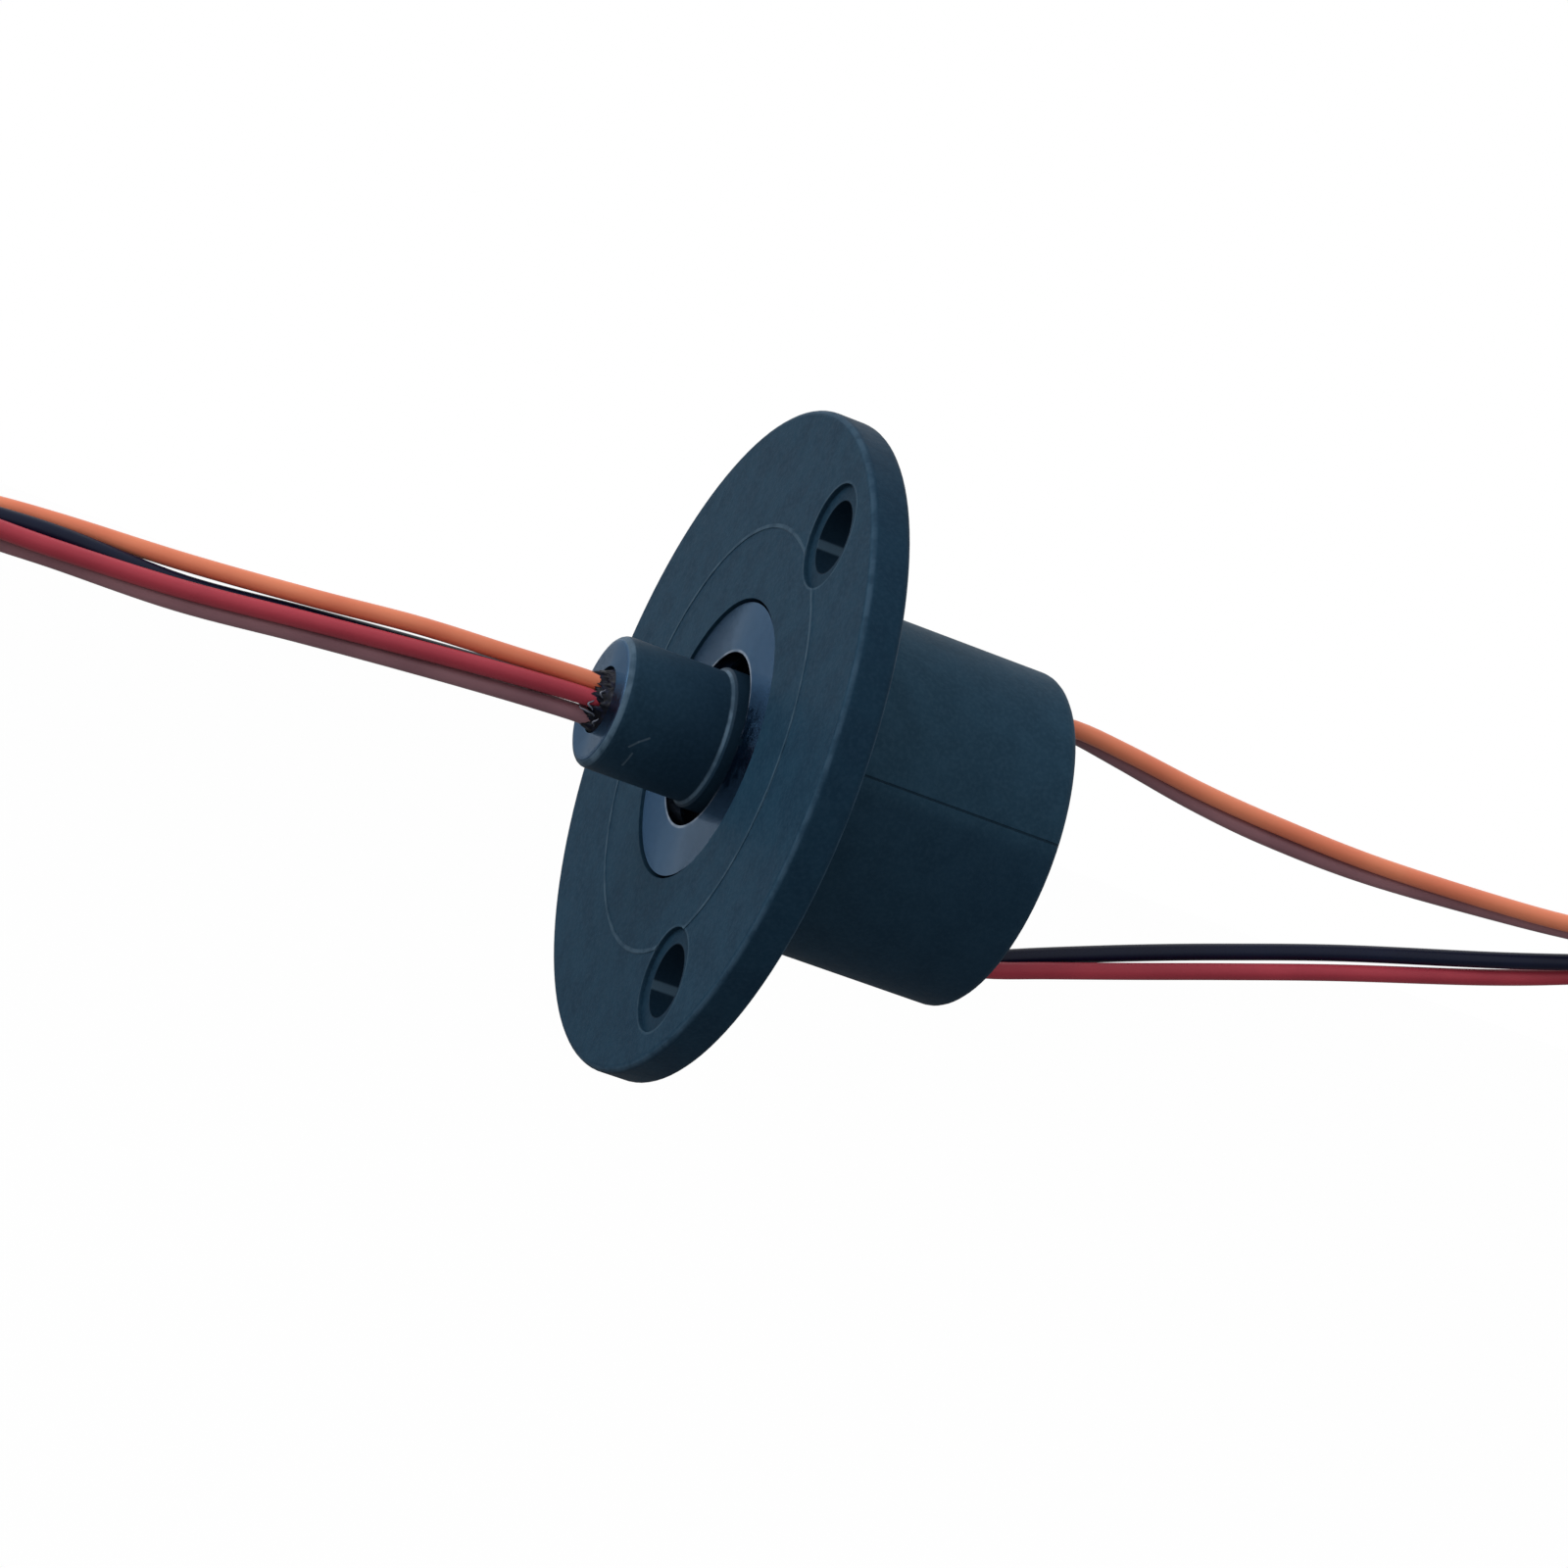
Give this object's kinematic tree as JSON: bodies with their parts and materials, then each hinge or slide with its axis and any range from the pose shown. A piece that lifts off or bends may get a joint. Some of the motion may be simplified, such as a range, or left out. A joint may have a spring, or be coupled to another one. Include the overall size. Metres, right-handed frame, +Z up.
{
  "type": "slip ring",
  "caption": "Flanged capsule slip ring with a pale cover ring, a hollow rotor shaft and coloured leads at both ends",
  "frame": {"origin": "centre of the flange's seating face, on the rotor's axis, where the body enters its hole in the panel", "axes": "+X runs along the rotor's axis from the shaft end to the rear cap, +Z is up with one bolt hole at +Y, the plane y = 0 holds both pairs of rear leads"},
  "size_m": [0.1569, 0.0445, 0.0451],
  "materials": {
    "slate_plastic": "moulded glass-filled nylon, fine matt texture",
    "turned_metal": "fine turned finish, pale grey",
    "potting": "dark cast epoxy, uneven surface",
    "race_steel": "ground bearing steel",
    "ball_steel": "polished bearing steel",
    "shield_steel": "pressed sheet steel",
    "cage_plastic": "moulded nylon",
    "contact_gold": "gold over brass, polished tracks",
    "washer_plastic": "turned PEEK",
    "board": "glass-epoxy circuit board with solder mask",
    "lead_orange": "PTFE insulation",
    "lead_red": "PTFE insulation",
    "lead_brown": "PTFE insulation",
    "lead_black": "PTFE insulation",
    "tie_plastic": "nylon tie"
  },
  "bodies": {
    "stator": {"housing": "slate_plastic", "cover_ring": "turned_metal", "rear_cap": "slate_plastic", "lead_seal_upper": "potting", "lead_seal_lower": "potting", "front_outer_race": "race_steel", "front_shields": "shield_steel", "rear_outer_race": "race_steel", "rear_shields": "shield_steel", "brush_board_upper": "board", "brush_board_lower": "board", "brush_1": "contact_gold", "brush_2": "contact_gold", "brush_3": "contact_gold", "brush_4": "contact_gold", "stator_inner_lead_orange": "lead_orange", "stator_inner_lead_red": "lead_red", "stator_inner_lead_brown": "lead_brown", "stator_inner_lead_black": "lead_black", "rear_lead_orange": "lead_orange", "rear_lead_red": "lead_red", "rear_lead_brown": "lead_brown", "rear_lead_black": "lead_black", "rear_coil": "lead_brown", "rear_tie": "tie_plastic"},
    "rotor": {"rotor_shaft": "slate_plastic", "shaft_potting": "potting", "rotor_inner_leads": "lead_black", "front_inner_race": "race_steel", "rear_inner_race": "race_steel", "slip_ring_1": "contact_gold", "slip_ring_2": "contact_gold", "slip_ring_3": "contact_gold", "slip_ring_4": "contact_gold", "ring_washer_1": "washer_plastic", "ring_washer_2": "washer_plastic", "ring_washer_3": "washer_plastic", "ring_washer_4": "washer_plastic", "ring_washer_5": "washer_plastic", "front_lead_orange": "lead_orange", "front_lead_red": "lead_red", "front_lead_brown": "lead_brown", "front_lead_black": "lead_black", "front_coil": "lead_brown", "front_tie": "tie_plastic"},
    "front_ball_set": {"front_balls": "ball_steel", "front_cage": "cage_plastic"},
    "rear_ball_set": {"rear_balls": "ball_steel", "rear_cage": "cage_plastic"}
  },
  "joints": [
    {"name": "rotor_spin", "type": "hinge", "parent": "stator", "child": "rotor", "pos_m": [0, 0, 0], "axis": [1, 0, 0], "continuous": true},
    {"name": "front_cage_spin", "type": "hinge", "parent": "stator", "child": "front_ball_set", "pos_m": [0.00215, 0, 0], "axis": [1, 0, 0], "continuous": true},
    {"name": "rear_cage_spin", "type": "hinge", "parent": "stator", "child": "rear_ball_set", "pos_m": [0.0149, 0, 0], "axis": [1, 0, 0], "continuous": true}
  ],
  "couplings": [
    {"joint": "front_cage_spin", "follows": "rotor_spin", "ratio": 0.4179},
    {"joint": "rear_cage_spin", "follows": "rotor_spin", "ratio": 0.394}
  ]
}
